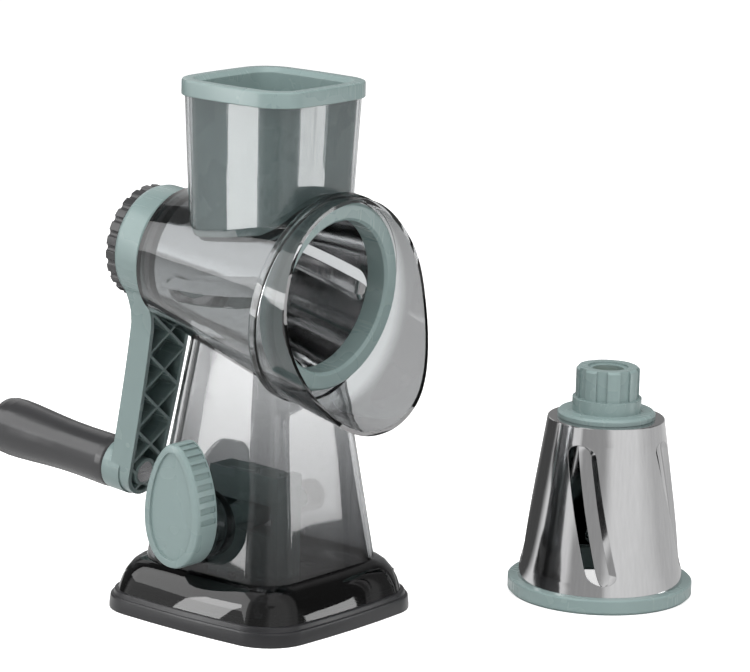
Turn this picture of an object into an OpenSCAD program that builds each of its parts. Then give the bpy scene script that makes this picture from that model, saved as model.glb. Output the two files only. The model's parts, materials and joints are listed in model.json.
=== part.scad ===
// Hand cranked drum shredder on a suction stand, with a second drum that stands beside it.
// Millimetres. +Z is up, the worktop is z = 0 and the origin is under the middle of the base.
// The mouth of the barrel faces -Y, the crank is on the +Y side, the suction knob on the -X side.

/* [Base] */
// Half width of the base ring at the worktop
base_half = 54; // [50:0.5:62]
// How far each side of the base bows outwards
base_bow = 1.2; // [0:0.1:3]
// Height of the base ring
base_h = 8.5; // [6:0.5:14]
// Height of the straight foot of the base ring
base_foot_h = 2; // [1:0.5:4]
// How much narrower the base ring is at its top, on each side
base_draft = 2; // [0.5:0.1:3]
// Width of the base ring beside the round opening for the suction pad
base_rim = 6.6; // [6:0.2:12]
// Distance of the base screws from the sides of the base ring
screw_inset = 15; // [13:0.5:17]
// Radius of the screw posts inside the skirt
post_r = 4.2; // [3.5:0.1:5]
// Height of the screw posts
post_h = 6; // [4:0.5:8]

/* [Pedestal] */
// How far the skirt stands back from the top edge of the base ring
skirt_step = 1; // [0.5:0.1:2]
// Height of the domed skirt
skirt_h = 14.5; // [12:0.5:20]
// How far the column's foot stands back from the edge of the skirt
column_step = 11.1; // [9:0.1:13]
// Half width of the column under the barrel
neck_half = 26.6; // [22:0.1:30]
// Height above the worktop at which the neck width is measured
neck_z = 116; // [105:1:125]
// Wall of the pedestal
stand_wall = 2.4; // [1.6:0.1:3.5]

/* [Barrel] */
// Height of the drum axis over the middle of the base
axis_z = 148.3; // [140:0.5:160]
// How far the drum axis dips towards the mouth, in degrees
axis_tilt = 4.8; // [0:0.1:8]
// How far the barrel's own axis lies below the drum axis
barrel_drop = 1.2; // [0:0.1:2]
// Outer radius of the barrel over the middle of the base
barrel_r = 39.05; // [38.5:0.05:42]
// Growth of the barrel's radius for each millimetre towards the mouth
barrel_flare = 0.183; // [0.15:0.001:0.2]
// Wall of the barrel
barrel_wall = 1.8; // [1.4:0.1:2.2]
// Thickness of the barrel's back wall
back_wall = 3; // [2:0.1:4]
// Place of the hood's foot, ahead of the middle of the base
hood_foot = 33; // [32.8:0.1:34]
// Radius of the hood at its foot
hood_r = 46.1; // [46:0.1:48]
// Growth of the hood's radius for each millimetre towards its lip
hood_flare = 0.072; // [0.05:0.001:0.1]
// How far the hood's axis lies below the drum axis at its foot
hood_drop = 2; // [1.8:0.1:2.2]
// How far the hood dips more than the barrel, in degrees
hood_dip = 4.1; // [3:0.1:6]
// Reach of the hood's upper edge, ahead of the middle of the base
hood_top = 43.3; // [42:0.1:50]
// Reach of the lip under the mouth, ahead of the middle of the base
hood_lip = 69.8; // [60:0.1:76]
// Width of the bead round the hood's foot
bead_w = 4.4; // [3:0.1:5]
// How far the bead stands out
bead_out = 0.9; // [0.6:0.1:1.5]

/* [Hopper and pusher] */
// Place of the hopper's middle along Y
hopper_y = -1.6; // [-4:0.1:2]
// Height of the hopper's top edge
hopper_z = 228; // [215:1:240]
// Half width of the hopper at its top edge
hopper_half = 31.65; // [31:0.05:33]
// How far each side of the hopper bows outwards
hopper_bow = 0.6; // [0.2:0.1:1]
// Wall of the hopper at its top edge
hopper_wall = 1.65; // [1.4:0.05:2]
// Corner radius of the hopper at its top edge
hopper_corner = 14; // [10:0.5:16]
// Half width that the hopper loses for each millimetre downwards
hopper_draft = 0.043; // [0.03:0.001:0.045]
// Running gap between the pusher and the hopper at the top edge
pusher_gap = 0.9; // [0.7:0.05:1.4]
// Half width that the pusher loses for each millimetre downwards
pusher_draft = 0.026; // [0.02:0.001:0.03]
// Wall of the pusher
pusher_wall = 3; // [2:0.1:4]
// Floor of the pusher above the saddle
pusher_floor = 2.5; // [1.5:0.1:4]
// Gap between the pusher's saddle and the drum
saddle_gap = 2; // [0.8:0.1:3]
// Height of the pusher's rim
rim_h = 7; // [5:0.5:10]
// Overhang of the pusher's rim past the hopper
rim_over = 1.5; // [1:0.05:3]

/* [Drum] */
// Length of the drum from the mouth ring to the end of its hub
drum_len = 104; // [98:0.5:108]
// Distance of the drum's mouth ahead of the middle of the base
drum_front = 39.6; // [38:0.1:41]
// Outer radius of the mouth ring
ring_r = 41.5; // [40:0.1:42]
// Radius of the opening in the mouth ring
ring_bore_r = 33.5; // [31:0.1:34.5]
// Thickness of the mouth ring
ring_w = 7; // [5:0.1:8]
// Depth of the sleeve that the mouth ring has inside the cone
ring_sleeve = 3.4; // [2:0.1:3.6]
// Radius of the steel cone at the mouth ring
cone_front_r = 37.2; // [36.5:0.1:38]
// Radius of the steel cone at the hub
cone_back_r = 26.2; // [25:0.1:27]
// Thickness of the steel
cone_wall = 0.8; // [0.6:0.05:1.2]
// Number of slicing slots
slots = 4; // [3:1:5]
// Distance of the slots from the drum's mouth
slot_start = 12; // [11.5:0.1:16]
// Distance of the slots from the end of the steel cone
slot_end = 8; // [7:0.5:14]
// Width of a slot with its pressed-in ramp
slot_w = 14; // [11:0.2:16]
// Open part of a slot's width
slot_gap = 4.6; // [4:0.1:6.5]
// Depth of the ramp under the cone's surface
slot_depth = 2.6; // [1.5:0.1:3]
// Angle that a slot turns round the cone, in degrees
slot_twist = 26; // [10:1:32]
// Radius of the hub's flange on the cone
flange_r = 22; // [20:0.1:24]
// Thickness of the hub's flange
flange_w = 3; // [2:0.1:3.5]
// Radius of the hub's collar, which turns in the bush
collar_r = 15.5; // [15:0.05:16.5]
// Length of the hub's collar
collar_w = 6; // [5.6:0.1:7]
// Length of the hub's fluted nose
nose_len = 14; // [12:0.5:14.4]
// Radius of the hub's fluted nose
nose_r = 14.2; // [13:0.1:14.6]
// Number of flutes on the nose
flutes = 8; // [6:1:10]
// Width of a flute
flute_w = 5; // [3:0.1:6]
// Depth of a flute
flute_depth = 1.2; // [0.8:0.1:1.8]
// Outer radius of the threaded insert in the nose
insert_r = 7; // [6:0.1:8]

/* [Crank] */
// Radius from the drum axis to the grip axis
crank_r = 105.5; // [95:0.5:115]
// Radius of the crank's round head
head_r = 27; // [25:0.1:29]
// Thickness of the crank's round head
head_w = 15.6; // [15.2:0.1:18]
// Half width of the arm below the head
arm_half_top = 13.5; // [11:0.1:15]
// Half width of the arm at the grip
arm_half_end = 10.8; // [9.5:0.1:12]
// Thickness of the arm
arm_w = 12; // [10:0.1:13]
// How far the arm leans outwards between head and grip
arm_lean = 8.6; // [4:0.1:11]
// Wall of the arm round its tray and behind it
arm_wall = 2; // [1.5:0.1:3]
// Thickness of the arm's lattice ribs
rib_w = 1.2; // [0.8:0.1:2]
// Distance from one crossing of the ribs to the next
rib_pitch = 18; // [14:0.5:24]
// Radius of the collar that carries the grip
grip_collar_r = 11.5; // [10:0.1:12]
// Height of that collar on the arm
grip_collar_h = 4.4; // [3:0.1:6]
// Length of the grip
grip_len = 73; // [60:1:85]
// Radius of the grip at its neck
grip_neck_r = 11.6; // [10:0.1:12.5]
// Radius of the grip at its bulb
grip_bulb_r = 13.4; // [12.6:0.1:15]
// Radius of the grip's axle
axle_r = 3; // [2.5:0.1:4]
// Radius of the lock nut
nut_r = 25.3; // [23:0.1:26.5]
// Thickness of the lock nut
nut_w = 5.4; // [4.6:0.1:8]
// Number of grooves round the lock nut
nut_grooves = 24; // [16:1:32]
// Radius of the lock nut's threaded stud
stud_r = 4; // [3:0.1:5]

/* [Suction lock] */
// Height of the cam shaft above the worktop
shaft_z = 43; // [41.5:0.5:46]
// Place of the cam shaft along Y
shaft_y = 4; // [-2:0.5:6]
// Radius of the cam shaft
shaft_r = 4.75; // [4:0.05:5.2]
// Radius of the journal behind the knob
journal_r = 9; // [8.9:0.1:10]
// Radius of the round cam on the shaft
cam_r = 6.5; // [6:0.1:6.6]
// Height that the cam lifts the suction pad by
cam_lift = 3; // [2:0.1:3.1]
// Half height of the egg shaped knob
knob_half_h = 27.5; // [24:0.1:28]
// Half width of the egg shaped knob
knob_half_w = 15.5; // [14:0.1:18]
// Thickness of the knob
knob_w = 14; // [11:0.1:16]
// Distance of the knob's middle above the shaft
knob_rise = 11.5; // [10:0.1:13]
// Grip grooves on each side of the knob
knob_grooves = 9; // [6:1:12]
// Gap between the suction pad and the base ring
pad_gap = 0.8; // [0.6:0.1:2]
// Height of the suction pad with its stiff plate
pad_h = 11.8; // [10:0.1:13]
// Thickness of the stiff plate on the pad
plate_w = 3; // [2:0.1:4]
// Width of the pad that stands past its stiff plate
plate_step = 12.6; // [10:0.1:16]
// Width of the lift tower along X
tower_w = 14; // [12:0.5:18]
// Length of the lift tower along Y
tower_len = 39; // [36:0.5:44]
// Height of the lift tower's top above the worktop
tower_z = 61.5; // [58:0.5:66]

/* [Second drum] */
// Place of the second drum along X
spare_x = 126; // [118:1:160]
// Place of the second drum along Y
spare_y = -94; // [-130:1:-80]
// Turn of the second drum about its own axis, in degrees
spare_turn = 205; // [0:1:360]

/* [Hidden] */
$fn = 96;

// Colours
sage = [0.55, 0.63, 0.62];
clear_grey = [0.72, 0.75, 0.76, 0.4];
smoke = [0.45, 0.47, 0.48, 0.5];
dark_grey = [0.26, 0.26, 0.27];
near_black = [0.12, 0.12, 0.13];
steel = [0.78, 0.78, 0.8];
brass = [0.8, 0.66, 0.35];

// Clearances: cuts run past their faces, seats are all but closed, shafts run, keys slide
overrun = 1;
seat_gap = 0.05;
run_gap = 0.08;
slide_gap = 0.25;

// Sizes that follow from the ones above
corner_share = 0.38;
column_corner_share = 0.4;
pad_hole_r = base_half - base_rim;
pad_r = pad_hole_r - pad_gap;
plate_r = pad_r - plate_step;
screw_place = base_half - screw_inset;
skirt_half = base_half - base_draft - skirt_step;
column_half = skirt_half - column_step;
column_z = base_h + skirt_h;
column_slope = (column_half - neck_half) / (neck_z - column_z);
plate_floor = 2.2;
screw_r = 1.5;
screw_head_r = 3.2;
screw_head_h = 2;
cone_len = drum_len - ring_w - flange_w - collar_w - nose_len;
cone_slope = (cone_front_r - cone_back_r) / cone_len;
cone_end = ring_w + cone_len;
slot_len = cone_end - slot_end - slot_start;
flange_end = cone_end + flange_w;
collar_end = flange_end + collar_w;
neck_r = collar_r - flange_w / 2;
clamp_r = (collar_r + flange_r) / 2;
bush_front = flange_end - drum_front + slide_gap;
barrel_back = collar_end - drum_front - slide_gap;
head_front = collar_end - drum_front + slide_gap;
head_back = head_front + head_w;
head_round = 2;
hub_end = drum_len - drum_front;
bush_r = collar_r + stand_wall + overrun;
corner_steps = 8;
side_steps = 3;

function barrel_at(z) = barrel_r - barrel_flare * z;
function hopper_at(z) = hopper_half - hopper_draft * (hopper_z - z);
function cone_at(u) = cone_front_r - (u - ring_w) * cone_slope;
function column_at(z) = column_half - (z - column_z) * column_slope;

// A rounded square as a list of points, with extra points along each side where it bows outwards.
// The corner's arc starts at the slope on which the bowed side ends.
function quarter(half, corner, bow, sides) = let (slope = atan(2 * bow / (half - bow - corner)),
    middle = half - bow - corner * cos(slope), flat = middle + corner * sin(slope)) concat(
    [for (i = [0 : corner_steps]) let (a = slope + i * (90 - 2 * slope) / corner_steps)
        [middle + corner * cos(a), middle + corner * sin(a)]],
    [for (j = [1 : sides]) let (f = 1 - 2 * j / (sides + 1)) [flat * f, half - bow * f * f]]);
function ring_points(half, corner, bow = 0, sides = 0) = [for (q = [0 : 3],
    p = quarter(half, corner, bow, sides))
    [p.x * cos(90 * q) - p.y * sin(90 * q), p.x * sin(90 * q) + p.y * cos(90 * q)]];

// A closed solid through rings of points, lowest ring first, each ring anticlockwise from above
module skin(rings) {
    n = len(rings[0]);
    last = len(rings) - 1;
    polyhedron(
        points = [for (r = rings, p = r) p],
        faces = concat(
            [[for (i = [0 : n - 1]) i]],
            [[for (i = [n - 1 : -1 : 0]) last * n + i]],
            [for (k = [0 : last - 1], i = [0 : n - 1])
                [k * n + i, (k + 1) * n + i, (k + 1) * n + (i + 1) % n]],
            [for (k = [0 : last - 1], i = [0 : n - 1])
                [k * n + i, (k + 1) * n + (i + 1) % n, k * n + (i + 1) % n]]));
}

// Levels are [height, half width, corner radius, bow]
module loft(levels, sides = 0)
    skin([for (l = levels) [for (p = ring_points(l[1], l[2], l[3], sides)) [p.x, p.y, l[0]]]]);

// The drum axis: z runs back towards the crank, y runs down, and x is the part's own X
module on_axis(drop = 0) translate([0, 0, axis_z - drop]) rotate([axis_tilt - 90, 0, 0]) children();
// A profile drawn in (z, y) of that frame, given a width along X
module across(width) rotate([0, -90, 0]) linear_extrude(width, center = true) children();

// Base ring: the foot stands flat on the worktop, the upper part tapers to the skirt
module base_screw_places() for (x = [-1, 1], y = [-1, 1]) translate([x * screw_place, y * screw_place, 0])
    children();

// Shares of the ring's height over its foot and of its draft
ring_share = [[0, 0], [0.55, 0.15], [0.66, 0.35], [0.68, 0.6], [0.94, 0.8], [1, 1]];
module base_ring() color(near_black) difference() {
    union() {
        linear_extrude(base_foot_h) polygon(ring_points(base_half, base_half * corner_share, base_bow,
            side_steps));
        loft([for (l = ring_share) [base_foot_h + l[0] * (base_h - base_foot_h),
            base_half - l[1] * base_draft,
            base_half * corner_share, base_bow]], side_steps);
    }
    translate([0, 0, -overrun]) cylinder(h = base_h + 2 * overrun, r = pad_hole_r);
    base_screw_places() translate([0, 0, -overrun]) {
        cylinder(h = base_h + 2 * overrun, r = screw_r + seat_gap, $fn = 32);
        cylinder(h = overrun + base_h / 2, r = screw_head_r + slide_gap, $fn = 32);
    }
}

module base_screws() color(steel) base_screw_places() translate([0, 0, base_h / 2 - screw_head_h]) {
    difference() {
        cylinder(h = screw_head_h, r = screw_head_r, $fn = 32);
        for (a = [0, 90]) rotate(a) cube([screw_head_r, screw_r / 2, screw_head_h], center = true);
    }
    cylinder(h = screw_head_h + base_h / 2 + post_h, r = screw_r, $fn = 32);
}

// Pedestal: a domed skirt, then a tapering column whose top is cut to the barrel
skirt_steps = 5;
skirt_arc = 58;
function skirt_level(i, inset) = let (a = skirt_arc * (1 - i / skirt_steps),
    out = sin(a) / sin(skirt_arc), drop = (1 - cos(a)) / (1 - cos(skirt_arc)),
    half = column_half + (skirt_half - column_half) * out - inset)
    [base_h + (skirt_h - inset) * (1 - drop), half, (half + inset) * corner_share - inset,
        base_bow * out];
function column_level(z, inset) = let (half = column_at(z))
    [z, half - inset, half * column_corner_share - inset, 0];
floor_level = let (low = skirt_level(0, stand_wall)) [base_h + plate_floor, low[1], low[2], low[3]];

// One skin: up the outside, over the top and down the inside to the floor
module pedestal_shell() loft(concat(
    [for (i = [0 : skirt_steps]) skirt_level(i, 0)],
    [column_level(axis_z, 0), column_level(axis_z - stand_wall, stand_wall)],
    [for (i = [skirt_steps : -1 : 1]) skirt_level(i, stand_wall)],
    [floor_level]), side_steps);

module barrel_solid(grow) on_axis(barrel_drop) rotate_extrude() polygon([
    [0, -hood_foot], [barrel_at(-hood_foot) + grow, -hood_foot],
    [barrel_at(barrel_back) + grow, barrel_back], [0, barrel_back]]);

module knob_boss_place() translate([-column_at(shaft_z), shaft_y, shaft_z]) rotate([0, -90, 0])
    children();
module far_boss_place() translate([column_at(shaft_z), shaft_y, shaft_z]) rotate([0, -90, 0]) children();
boss_out = column_at(shaft_z - knob_half_h + knob_rise) - column_at(shaft_z) + 2 * overrun;
boss_in = 8;
knob_boss_r = journal_r + 6;
far_boss_r = shaft_r + stand_wall;
far_boss_out = column_at(shaft_z - far_boss_r) - column_at(shaft_z) + slide_gap;

module pedestal() color(smoke) difference() {
    union() {
        pedestal_shell();
        base_screw_places() translate([0, 0, base_h]) cylinder(h = plate_floor + post_h, r = post_r,
            $fn = 32);
        knob_boss_place() translate([0, 0, -boss_in]) cylinder(h = boss_in + boss_out, r = knob_boss_r);
        far_boss_place() translate([0, 0, -far_boss_out])
            cylinder(h = boss_in + far_boss_out, r = far_boss_r);
    }
    translate([0, 0, base_h - overrun]) cylinder(h = plate_floor + 2 * overrun, r = pad_hole_r);
    base_screw_places() cylinder(h = base_h + post_h + seat_gap, r = screw_r + seat_gap, $fn = 32);
    knob_boss_place() translate([0, 0, -boss_in - overrun])
        cylinder(h = boss_in + boss_out + 2 * overrun, r = journal_r);
    far_boss_place() translate([0, 0, -stand_wall - overrun])
        cylinder(h = boss_in + stand_wall + 2 * overrun, r = shaft_r + run_gap);
    barrel_solid(seat_gap);
    hood_outside(seat_gap);
}

// Upper housing: tapered barrel with its hood, and the hopper that stands on it. The barrel's mouth
// runs on into the hood without growing, so that it stays inside the hood's wall.
mouth_r = barrel_at(-hood_foot);
mouth_z = -hood_foot - hood_r * sin(hood_dip) - 2 * overrun;
module barrel_outside() on_axis(barrel_drop) rotate_extrude() polygon([
    [0, mouth_z], [mouth_r, mouth_z], [mouth_r, -hood_foot],
        [barrel_at(barrel_back - overrun), barrel_back - overrun],
    [barrel_at(barrel_back) - overrun, barrel_back], [0, barrel_back]]);

module barrel_inside() on_axis(barrel_drop) rotate_extrude() polygon([
    [0, mouth_z - overrun], [mouth_r - barrel_wall, mouth_z - overrun],
        [mouth_r - barrel_wall, -hood_foot],
    [barrel_at(barrel_back - back_wall) - barrel_wall, barrel_back - back_wall],
        [0, barrel_back - back_wall]]);

// The hood dips more than the barrel; a bead runs round its foot
hood_len = (hood_lip - hood_foot) * 1.2;
function hood_at(z) = hood_r - hood_flare * z;
module on_hood_axis() on_axis() translate([0, hood_drop, -hood_foot]) rotate([hood_dip, 0, 0]) children();
module hood_outside(grow = 0) on_hood_axis() rotate_extrude() polygon([
    [0, -hood_len], [hood_at(-hood_len) + grow, -hood_len], [hood_at(-bead_w / 2) + grow, -bead_w / 2],
    [hood_r + bead_out + grow, bead_out / 2 - bead_w / 2],
        [hood_r + bead_out + grow, bead_w / 2 - bead_out / 2],
    [hood_r + grow, bead_w / 2 + grow], [0, bead_w / 2 + grow]]);
module hood_inside() on_hood_axis() translate([0, 0, -hood_len - overrun])
    cylinder(h = hood_len + overrun,
    r1 = hood_at(-hood_len - overrun) - barrel_wall, r2 = hood_r - barrel_wall);

// The hood's edge from top to bottom: share of its radius downwards, share of the way to the lip
edge_share = [[-0.957, 0], [-0.82, 0.008], [-0.66, 0.034], [-0.537, 0.075], [-0.398, 0.13],
    [-0.233, 0.185],
    [-0.074, 0.235], [0.072, 0.29], [0.22, 0.365], [0.346, 0.443], [0.47, 0.527], [0.607, 0.63],
        [0.733, 0.732],
    [0.889, 0.857], [0.991, 0.926], [1.08, 0.97], [1.143, 1]];
hood_low = 2 * hood_r;
module hood_cut() on_axis() across(4 * hood_r) polygon(concat(
    [[-hood_len * 2, hood_low], [-hood_len * 2, -hood_low], [-hood_top, -hood_low]],
    [for (e = edge_share) [-hood_top - (hood_lip - hood_top) * e[1], hood_r * e[0]]],
    [[-hood_lip, hood_low]]));

module hopper_solid(inset) {
    low = axis_z - (inset > 0 ? overrun : 0);
    high = hopper_z + (inset > 0 ? overrun : 0);
    translate([0, hopper_y, 0]) loft([for (z = [low, high]) let (share = hopper_at(z) / hopper_half)
        [z, hopper_at(z) - inset * share, hopper_corner * share - inset, hopper_bow * share]],
            side_steps);
}

module upper_housing() color(clear_grey) difference() {
    union() {
        barrel_outside();
        hood_outside();
        hopper_solid(0);
    }
    barrel_inside();
    hood_inside();
    hood_cut();
    on_axis() translate([0, 0, barrel_back - back_wall - overrun])
        cylinder(h = back_wall + 2 * overrun, r = bush_r + seat_gap);
    hopper_solid(hopper_wall);
}

// Dark bush in the back wall: the hub's collar turns in it
module rear_bush() color(dark_grey) on_axis() difference() {
    union() {
        translate([0, 0, bush_front]) cylinder(h = barrel_back - bush_front, r = bush_r);
        translate([0, 0, bush_front])
            cylinder(h = barrel_back - back_wall - bush_front,
                r = barrel_at(barrel_back) - barrel_wall - 2 * overrun);
    }
    translate([0, 0, bush_front - overrun])
        cylinder(h = barrel_back - bush_front + 2 * overrun, r = collar_r + run_gap);
}

// Suction pad: a dished rubber disc with a stiff plate, lifted by the tower
module suction_pad() color(near_black) rotate_extrude() polygon([
    [0, plate_w / 2], [pad_r / 2, plate_w / 2], [pad_r - 8, 0], [pad_r, 0], [pad_r, plate_w / 2],
    [pad_r - 2, plate_w], [plate_r + 3, plate_w], [plate_r, pad_h - plate_w], [0, pad_h - plate_w]]);

pad_screw_x = tower_w / 2 + screw_head_r + overrun;
tower_flange_w = 2.5;

module pad_screw_places() for (x = [-1, 1]) translate([x * pad_screw_x, shaft_y, 0]) children();

module pad_plate() color(dark_grey) difference() {
    translate([0, 0, pad_h - plate_w]) cylinder(h = plate_w, r = plate_r);
    pad_screw_places() translate([0, 0, pad_h - plate_w - overrun])
        cylinder(h = plate_w + 2 * overrun, r = screw_r + seat_gap, $fn = 32);
}

module pad_screws() color(steel) pad_screw_places() {
    translate([0, 0, pad_h - plate_w]) cylinder(h = plate_w + tower_flange_w, r = screw_r, $fn = 32);
    translate([0, 0, pad_h + tower_flange_w]) difference() {
        cylinder(h = screw_head_h, r = screw_head_r, $fn = 32);
        for (a = [0, 90]) rotate(a) translate([0, 0, screw_head_h])
            cube([screw_head_r, screw_r / 2, screw_head_h], center = true);
    }
}

// Lift tower: the cam turns in its window and raises it with the pad
cam_off = cam_lift / (2 * sin(45));
window_half = tower_len / 2 - 4;
window_z = shaft_z - cam_off * sin(45);

module lift_tower() color(sage) difference() {
    union() {
        translate([-tower_w / 2, shaft_y - tower_len / 2, pad_h])
            cube([tower_w, tower_len, tower_z - pad_h]);
        translate([0, shaft_y, pad_h]) cylinder(h = tower_flange_w,
            r = pad_screw_x + screw_head_r + overrun);
    }
    translate([-tower_w, shaft_y - window_half, window_z - cam_r - slide_gap])
        cube([2 * tower_w, 2 * window_half, 2 * (cam_r + slide_gap)]);
    pad_screw_places() translate([0, 0, pad_h - overrun])
        cylinder(h = tower_flange_w + 2 * overrun, r = screw_r + seat_gap, $fn = 32);
}

// Cam shaft along X, with the round cam set off its axis
journal_end = -column_at(shaft_z) + boss_in;
far_end = column_at(shaft_z) + far_boss_out;
knob_in = -column_at(shaft_z) - boss_out - slide_gap;
key_half = 5;
key_len = knob_w * 2 / 3;

module shaft_along(x0, x1, r, dy = 0, dz = 0)
    translate([x0, shaft_y + dy, shaft_z + dz]) rotate([0, 90, 0]) cylinder(h = x1 - x0, r = r);

module cam_shaft() color(sage) difference() {
    union() {
        shaft_along(knob_in, journal_end, journal_r - run_gap);
        shaft_along(journal_end - overrun, far_end, shaft_r);
        shaft_along(-tower_w / 2 + overrun, tower_w / 2 - overrun, cam_r, cam_off * cos(45),
            -cam_off * sin(45));
        translate([knob_in - key_len, shaft_y - key_half, shaft_z - key_half])
            cube([key_len + overrun, 2 * key_half, 2 * key_half]);
    }
    shaft_along(far_end - 3 * boss_in / 2, far_end + overrun, screw_r + seat_gap);
}

// Egg shaped knob: rounded edges, a recessed face and grip grooves up both sides
egg_points = 64;
egg_share = 0.2;
knob_round = 1.5;
knob_rim = 2.2;
knob_recess = 1;
function egg(inset) = [for (i = [0 : egg_points - 1]) let (a = 360 * i / egg_points)
    [(knob_half_w - inset) * cos(a) * (1 - egg_share * sin(a)),
        knob_rise + (knob_half_h - inset) * sin(a)]];
function egg_at(z, inset) = [for (p = egg(inset)) [p.x, p.y, z]];
module knob_place() translate([knob_in, shaft_y, shaft_z]) rotate([90, 0, 90]) children();

module knob_groove(side, i) {
    a = 90 - side * (16 + i * 96 / knob_grooves);
    x = knob_half_w * cos(a) * (1 - egg_share * sin(a));
    y = knob_rise + knob_half_h * sin(a);
    lean = atan2(sin(a) * knob_half_w, cos(a) * knob_half_h);
    translate([x, y, -knob_w / 2]) rotate(lean)
        cube([knob_round, knob_round * 1.6, knob_w - 3 * knob_round], center = true);
}

module suction_knob() color(sage) knob_place() difference() {
    skin([egg_at(-knob_w, knob_round), egg_at(-knob_w + knob_round / 3, knob_round / 3),
        egg_at(-knob_w + knob_round, 0), egg_at(-knob_round, 0), egg_at(0, knob_round)]);
    translate([0, 0, -knob_w - overrun]) linear_extrude(overrun + knob_recess)
        polygon(egg(knob_rim + knob_round));
    for (side = [-1, 1], i = [0 : knob_grooves - 1]) knob_groove(side, i);
    translate([-key_half - seat_gap, -key_half - seat_gap, -key_len - seat_gap])
        cube([2 * (key_half + seat_gap), 2 * (key_half + seat_gap), key_len + overrun]);
}

washer_w = 1.2;
washer_x = far_end + seat_gap;
module shaft_washer() color(steel) difference() {
    shaft_along(washer_x, washer_x + washer_w, shaft_r + stand_wall);
    shaft_along(washer_x - overrun, washer_x + washer_w + overrun, screw_r + run_gap);
}

module shaft_screw() color(steel) {
    shaft_along(far_end - boss_in, washer_x + washer_w + screw_head_h / 2, screw_r);
    difference() {
        shaft_along(washer_x + washer_w, washer_x + washer_w + screw_head_h, screw_head_r);
        for (a = [0, 90]) translate([washer_x + washer_w + screw_head_h, shaft_y, shaft_z])
            rotate([a, 0, 0])
            cube([screw_head_h, screw_head_r, screw_r / 2], center = true);
    }
}

// Food pusher: an open cup with a broad rim, and a saddle underneath that follows the drum
pusher_half = hopper_half - hopper_wall - pusher_gap;
pusher_low = axis_z + cone_back_r / 2;
rim_half = hopper_half + rim_over;
rim_round = 1;
function pusher_at(z) = pusher_half - pusher_draft * (hopper_z - z);
function pusher_corner(z, inset) = (hopper_corner - inset) * pusher_at(z) / pusher_half;

function pusher_level(z, inset) =
    [z, pusher_at(z) - inset, pusher_corner(z, hopper_wall + pusher_gap / 2 + inset), hopper_bow];
function rim_level(z, inset) = [z, rim_half - inset, hopper_corner + rim_over - inset, hopper_bow];
rim_top = hopper_z + rim_h;
pusher_front = pusher_half - hopper_y;
cup_floor = axis_z + cone_at(drum_front - pusher_front) + saddle_gap - pusher_front * sin(axis_tilt) +
    pusher_floor;

// One skin: up the outside, over the rim and down the inside to the floor of the cup
module food_pusher() color(sage) difference() {
    translate([0, hopper_y, 0]) loft([pusher_level(pusher_low, 0), pusher_level(hopper_z, 0),
        rim_level(hopper_z, rim_round / 3), rim_level(hopper_z + rim_round / 3, 0),
            rim_level(rim_top - rim_round, 0),
        rim_level(rim_top - rim_round / 4, rim_round / 3), rim_level(rim_top, rim_round),
        pusher_level(rim_top, pusher_wall - 2 * rim_round),
            pusher_level(rim_top - 2 * rim_round, pusher_wall),
        pusher_level(cup_floor + rim_round, pusher_wall),
            pusher_level(cup_floor, pusher_wall + rim_round)],
        side_steps);
    on_axis() cylinder(h = 4 * pusher_half, center = true,
        r1 = cone_at(drum_front - 2 * pusher_half) + saddle_gap,
        r2 = cone_at(drum_front + 2 * pusher_half) + saddle_gap);
}

// Drum, drawn standing on its mouth: the height u runs from the mouth ring up to the hub
slot_ends = 5;
function slot_angle(u) = -slot_twist * ((u - slot_start) / slot_len - 1 / 2);
function slot_point(u, x, depth) = let (a = slot_angle(u) + x / cone_at(u) * 180 / PI,
    r = cone_at(u) - depth)
    [r * cos(a), r * sin(a), u];
end_share = [0, 0.05, 0.25, 0.6, 1];
function end_u(i) = slot_start + slot_ends * end_share[i];
slot_us = concat([for (i = [0 : 4]) end_u(i)],
    [for (f = [1 / 6 : 1 / 6 : 5 / 6]) slot_start + slot_ends + f * (slot_len - 2 * slot_ends)],
    [for (i = [4 : -1 : 0]) 2 * slot_start + slot_len - end_u(i)]);
function end_gap(u) = min(u - slot_start, slot_start + slot_len - u);
function round_share(u) = let (f = min(1, max(0, end_gap(u)) / slot_ends))
    max(0.12, sqrt(1 - (1 - f) * (1 - f)));

module slot_cutter() skin([for (u = slot_us) let (w = slot_w / 2 * round_share(u), deep = 2 * cone_wall) [
    slot_point(u, -w, -3 * overrun), slot_point(u, w, -3 * overrun), slot_point(u, w, deep),
        slot_point(u, -w, deep)]]);

ramp_edge = cone_wall;
ramp_us = concat([slot_start - ramp_edge], [for (u = slot_us) if (end_gap(u) > ramp_edge) u],
    [slot_start + slot_len + ramp_edge]);
function end_rise(u) = let (f = max(0, min(1, end_gap(u) / slot_ends))) f * (2 - f);
lap_depth = 0.8 * cone_wall;
function ramp_depth(u) = lap_depth + (slot_depth - lap_depth) * end_rise(u);
// The first and last station are thin and lie inside the cone's wall
module slot_ramp() skin([for (u = ramp_us)
    let (inside = end_gap(u) < 0, half = cone_wall * (inside ? 1 / 4 : 1 / 2),
        lap = inside ? cone_wall / 2 : lap_depth,
        deep = inside ? lap : ramp_depth(u), far = slot_w / 2 + ramp_edge,
        bend = far - slot_depth - 2 * ramp_edge, left = slot_gap - slot_w / 2) [
    slot_point(u, left, deep - half), slot_point(u, bend, deep - half), slot_point(u, far, lap - half),
    slot_point(u, far, lap + half), slot_point(u, bend, deep + half), slot_point(u, left, deep + half)]]);

module cone_solid() difference() {
    rotate_extrude() polygon([
        [cone_at(ring_w), ring_w], [cone_back_r, cone_end - cone_wall / 2],
            [cone_back_r - cone_wall / 2, cone_end],
        [neck_r + seat_gap, cone_end], [neck_r + seat_gap, cone_end - cone_wall],
        [cone_back_r - cone_wall, cone_end - cone_wall], [cone_at(ring_w) - cone_wall, ring_w]]);
    for (i = [1 : slots]) rotate(i * 360 / slots) slot_cutter();
}

module drum_cone_shape() color(steel) {
    cone_solid();
    for (i = [1 : slots]) rotate(i * 360 / slots) slot_ramp();
}

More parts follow.
